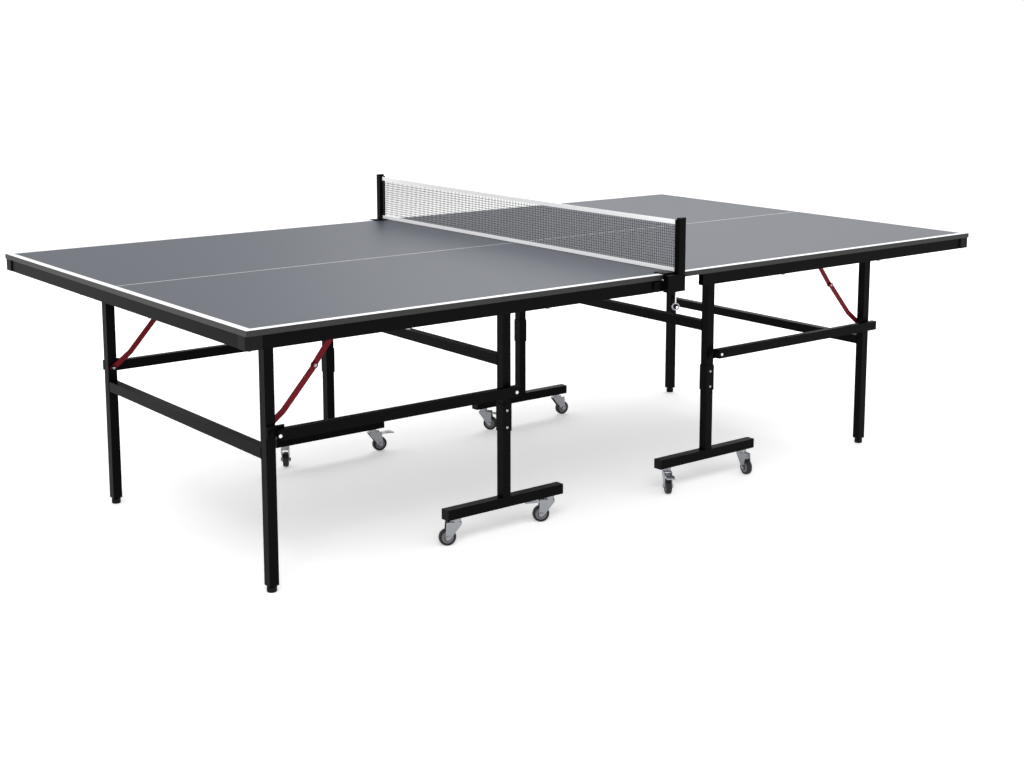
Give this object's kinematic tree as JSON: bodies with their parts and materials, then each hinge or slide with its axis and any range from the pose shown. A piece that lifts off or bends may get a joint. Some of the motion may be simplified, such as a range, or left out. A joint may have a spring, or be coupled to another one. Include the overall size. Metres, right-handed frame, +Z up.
{
  "type": "ping pong table",
  "caption": "Folding ping pong table with two blue-grey halves on wheeled black T-bases, red braces and a clip-on net",
  "frame": {"origin": "on the floor under the middle of the net", "axes": "X along the table, Y across it, Z up"},
  "size_m": [2.74, 1.57, 0.92],
  "materials": {
    "table_top": "smooth",
    "black_steel": "satin",
    "red_steel": "satin",
    "black_plastic": "matte",
    "zinc": "satin",
    "wheel_rubber": "matte",
    "net_fabric": "matte",
    "white_tape": "matte",
    "white_plastic": "matte"
  },
  "bodies": {
    "left_base": {"left_posts": "black_steel", "left_post_bar": "black_steel", "left_t_bases": "black_steel", "left_beam_caps": "black_plastic"},
    "left_top": {"left_panel": "table_top", "left_apron": "black_steel", "left_corner_caps": "black_plastic", "left_top_brackets": "black_steel", "net_clamps": "black_steel", "net_cord": "white_tape", "net_ring": "zinc"},
    "left_leg_frame": {"left_legs": "black_steel", "left_leg_bar": "black_steel"},
    "left_rail_pair": {"left_rails": "black_steel"},
    "left_lower_brace": {"left_lower_links": "red_steel"},
    "left_upper_brace": {"left_upper_links": "red_steel"},
    "left_near_foot": {"foot_left_near": "black_plastic"},
    "left_far_foot": {"foot_left_far": "black_plastic"},
    "right_base": {"right_posts": "black_steel", "right_post_bar": "black_steel", "right_t_bases": "black_steel", "right_beam_caps": "black_plastic"},
    "right_top": {"right_panel": "table_top", "right_apron": "black_steel", "right_corner_caps": "black_plastic", "right_top_brackets": "black_steel"},
    "right_leg_frame": {"right_legs": "black_steel", "right_leg_bar": "black_steel"},
    "right_rail_pair": {"right_rails": "black_steel"},
    "right_lower_brace": {"right_lower_links": "red_steel"},
    "right_upper_brace": {"right_upper_links": "red_steel"},
    "right_near_foot": {"foot_right_near": "black_plastic"},
    "right_far_foot": {"foot_right_far": "black_plastic"},
    "net": {"net_posts": "black_steel", "net_mesh": "net_fabric", "net_top_tape": "white_tape", "net_bottom_tape": "white_tape"},
    "near_clamp_screw": {"clamp_screw_near": "black_plastic"},
    "far_clamp_screw": {"clamp_screw_far": "black_plastic"},
    "left_near_outer_fork": {"fork_left_near_outer": "zinc"},
    "left_near_outer_wheel": {"wheel_left_near_outer": "wheel_rubber"},
    "left_near_inner_fork": {"fork_left_near_inner": "zinc"},
    "left_near_inner_wheel": {"wheel_left_near_inner": "wheel_rubber"},
    "left_far_outer_fork": {"fork_left_far_outer": "zinc"},
    "left_far_outer_wheel": {"wheel_left_far_outer": "wheel_rubber"},
    "left_far_inner_fork": {"fork_left_far_inner": "zinc"},
    "left_far_inner_wheel": {"wheel_left_far_inner": "wheel_rubber"},
    "right_near_inner_fork": {"fork_right_near_inner": "zinc"},
    "right_near_inner_wheel": {"wheel_right_near_inner": "wheel_rubber"},
    "right_near_outer_fork": {"fork_right_near_outer": "zinc"},
    "right_near_outer_wheel": {"wheel_right_near_outer": "wheel_rubber"},
    "right_far_inner_fork": {"fork_right_far_inner": "zinc"},
    "right_far_inner_wheel": {"wheel_right_far_inner": "wheel_rubber"},
    "right_far_outer_fork": {"fork_right_far_outer": "zinc"},
    "right_far_outer_wheel": {"wheel_right_far_outer": "wheel_rubber"},
    "left_near_pedal": {"pedal_left_near": "zinc"},
    "left_far_pedal": {"pedal_left_far": "zinc"},
    "right_near_pedal": {"pedal_right_near": "zinc"},
    "right_far_pedal": {"pedal_right_far": "zinc"}
  },
  "joints": [
    {"name": "halves_apart", "type": "slide", "parent": "left_base", "child": "right_base", "axis": [1, 0, 0], "range_m": [0, 0.9]},
    {"name": "left_fold", "type": "hinge", "parent": "left_base", "child": "left_top", "pos_m": [-0.408, 0, 0.724], "axis": [0, 1, 0], "range_deg": [0, 90], "deforming": ["net_mesh", "net_top_tape", "net_bottom_tape"]},
    {"name": "left_leg_swing", "type": "hinge", "parent": "left_top", "child": "left_leg_frame", "pos_m": [-1.168, 0, 0.724], "axis": [0, 1, 0], "range_deg": [-90, 0]},
    {"name": "left_rail_swing", "type": "hinge", "parent": "left_base", "child": "left_rail_pair", "pos_m": [-0.408, 0, 0.428], "axis": [0, 1, 0], "range_deg": [0, 90]},
    {"name": "left_lower_brace_swing", "type": "hinge", "parent": "left_leg_frame", "child": "left_lower_brace", "pos_m": [-1.168, 0, 0.428], "axis": [0, 1, 0], "range_deg": [-45.58, 0]},
    {"name": "left_upper_brace_swing", "type": "hinge", "parent": "left_top", "child": "left_upper_brace", "pos_m": [-0.9, 0, 0.724], "axis": [0, 1, 0], "range_deg": [0, 51.78]},
    {"name": "left_near_foot_turn", "type": "hinge", "parent": "left_leg_frame", "child": "left_near_foot", "pos_m": [-1.168, -0.4835, 0.02], "axis": [0, 0, 1], "continuous": true},
    {"name": "left_far_foot_turn", "type": "hinge", "parent": "left_leg_frame", "child": "left_far_foot", "pos_m": [-1.168, 0.4835, 0.02], "axis": [0, 0, 1], "continuous": true},
    {"name": "right_fold", "type": "hinge", "parent": "right_base", "child": "right_top", "pos_m": [0.408, 0, 0.724], "axis": [0, -1, 0], "range_deg": [0, 90]},
    {"name": "right_leg_swing", "type": "hinge", "parent": "right_top", "child": "right_leg_frame", "pos_m": [1.168, 0, 0.724], "axis": [0, -1, 0], "range_deg": [-90, 0]},
    {"name": "right_rail_swing", "type": "hinge", "parent": "right_base", "child": "right_rail_pair", "pos_m": [0.408, 0, 0.428], "axis": [0, -1, 0], "range_deg": [0, 90]},
    {"name": "right_lower_brace_swing", "type": "hinge", "parent": "right_leg_frame", "child": "right_lower_brace", "pos_m": [1.168, 0, 0.428], "axis": [0, -1, 0], "range_deg": [-45.58, 0]},
    {"name": "right_upper_brace_swing", "type": "hinge", "parent": "right_top", "child": "right_upper_brace", "pos_m": [0.9, 0, 0.724], "axis": [0, -1, 0], "range_deg": [0, 51.78]},
    {"name": "right_near_foot_turn", "type": "hinge", "parent": "right_leg_frame", "child": "right_near_foot", "pos_m": [1.168, -0.4835, 0.02], "axis": [0, 0, 1], "continuous": true},
    {"name": "right_far_foot_turn", "type": "hinge", "parent": "right_leg_frame", "child": "right_far_foot", "pos_m": [1.168, 0.4835, 0.02], "axis": [0, 0, 1], "continuous": true},
    {"name": "net_lift_off", "type": "slide", "parent": "left_top", "child": "net", "axis": [0, 0, 1], "range_m": [0, 0.2]},
    {"name": "near_clamp_screw_turn", "type": "hinge", "parent": "left_top", "child": "near_clamp_screw", "pos_m": [-0.068, -0.745, 0.72], "axis": [0, 0, 1], "continuous": true},
    {"name": "far_clamp_screw_turn", "type": "hinge", "parent": "left_top", "child": "far_clamp_screw", "pos_m": [-0.068, 0.745, 0.72], "axis": [0, 0, 1], "continuous": true},
    {"name": "left_near_outer_swivel", "type": "hinge", "parent": "left_base", "child": "left_near_outer_fork", "pos_m": [-0.578, -0.4835, 0.085], "axis": [0, 0, 1], "continuous": true},
    {"name": "left_near_outer_roll", "type": "hinge", "parent": "left_near_outer_fork", "child": "left_near_outer_wheel", "pos_m": [-0.60156, -0.47251, 0.025], "axis": [-0.4226, -0.9063, 0], "continuous": true},
    {"name": "left_near_inner_swivel", "type": "hinge", "parent": "left_base", "child": "left_near_inner_fork", "pos_m": [-0.238, -0.4835, 0.085], "axis": [0, 0, 1], "continuous": true},
    {"name": "left_near_inner_roll", "type": "hinge", "parent": "left_near_inner_fork", "child": "left_near_inner_wheel", "pos_m": [-0.26052, -0.4705, 0.025], "axis": [-0.5, -0.866, 0], "continuous": true},
    {"name": "left_near_brake", "type": "hinge", "parent": "left_near_inner_fork", "child": "left_near_pedal", "pos_m": [-0.25705, -0.4725, 0.06], "axis": [-0.5, -0.866, 0], "range_deg": [0, 8]},
    {"name": "left_far_outer_swivel", "type": "hinge", "parent": "left_base", "child": "left_far_outer_fork", "pos_m": [-0.578, 0.4835, 0.085], "axis": [0, 0, 1], "continuous": true},
    {"name": "left_far_outer_roll", "type": "hinge", "parent": "left_far_outer_fork", "child": "left_far_outer_wheel", "pos_m": [-0.56346, 0.50506, 0.025], "axis": [-0.829, 0.5592, 0], "continuous": true},
    {"name": "left_far_inner_swivel", "type": "hinge", "parent": "left_base", "child": "left_far_inner_fork", "pos_m": [-0.238, 0.4835, 0.085], "axis": [0, 0, 1], "continuous": true},
    {"name": "left_far_inner_roll", "type": "hinge", "parent": "left_far_inner_fork", "child": "left_far_inner_wheel", "pos_m": [-0.2124, 0.47898, 0.025], "axis": [0.1736, 0.9848, 0], "continuous": true},
    {"name": "left_far_brake", "type": "hinge", "parent": "left_far_inner_fork", "child": "left_far_pedal", "pos_m": [-0.21633, 0.47968, 0.06], "axis": [0.1736, 0.9848, 0], "range_deg": [0, 8]},
    {"name": "right_near_inner_swivel", "type": "hinge", "parent": "right_base", "child": "right_near_inner_fork", "pos_m": [0.238, -0.4835, 0.085], "axis": [0, 0, 1], "continuous": true},
    {"name": "right_near_inner_roll", "type": "hinge", "parent": "right_near_inner_fork", "child": "right_near_inner_wheel", "pos_m": [0.22422, -0.50555, 0.025], "axis": [0.848, -0.5299, 0], "continuous": true},
    {"name": "right_near_brake", "type": "hinge", "parent": "right_near_inner_fork", "child": "right_near_pedal", "pos_m": [0.22634, -0.50216, 0.06], "axis": [0.848, -0.5299, 0], "range_deg": [0, 8]},
    {"name": "right_near_outer_swivel", "type": "hinge", "parent": "right_base", "child": "right_near_outer_fork", "pos_m": [0.578, -0.4835, 0.085], "axis": [0, 0, 1], "continuous": true},
    {"name": "right_near_outer_roll", "type": "hinge", "parent": "right_near_outer_fork", "child": "right_near_outer_wheel", "pos_m": [0.57259, -0.50893, 0.025], "axis": [0.9781, -0.2079, 0], "continuous": true},
    {"name": "right_far_inner_swivel", "type": "hinge", "parent": "right_base", "child": "right_far_inner_fork", "pos_m": [0.238, 0.4835, 0.085], "axis": [0, 0, 1], "continuous": true},
    {"name": "right_far_inner_roll", "type": "hinge", "parent": "right_far_inner_fork", "child": "right_far_inner_wheel", "pos_m": [0.25401, 0.46301, 0.025], "axis": [0.788, 0.6157, 0], "continuous": true},
    {"name": "right_far_brake", "type": "hinge", "parent": "right_far_inner_fork", "child": "right_far_pedal", "pos_m": [0.25155, 0.46616, 0.06], "axis": [0.788, 0.6157, 0], "range_deg": [0, 8]},
    {"name": "right_far_outer_swivel", "type": "hinge", "parent": "right_base", "child": "right_far_outer_fork", "pos_m": [0.578, 0.4835, 0.085], "axis": [0, 0, 1], "continuous": true},
    {"name": "right_far_outer_roll", "type": "hinge", "parent": "right_far_outer_fork", "child": "right_far_outer_wheel", "pos_m": [0.60381, 0.48033, 0.025], "axis": [0.1219, 0.9925, 0], "continuous": true}
  ],
  "couplings": [
    {"joint": "left_leg_swing", "follows": "left_fold", "ratio": -1},
    {"joint": "left_rail_swing", "follows": "left_fold", "ratio": 1},
    {"joint": "left_lower_brace_swing", "follows": "left_fold", "ratio": -0.5063},
    {"joint": "left_upper_brace_swing", "follows": "left_fold", "ratio": 0.57526},
    {"joint": "right_leg_swing", "follows": "right_fold", "ratio": -1},
    {"joint": "right_rail_swing", "follows": "right_fold", "ratio": 1},
    {"joint": "right_lower_brace_swing", "follows": "right_fold", "ratio": -0.5063},
    {"joint": "right_upper_brace_swing", "follows": "right_fold", "ratio": 0.57526}
  ]
}
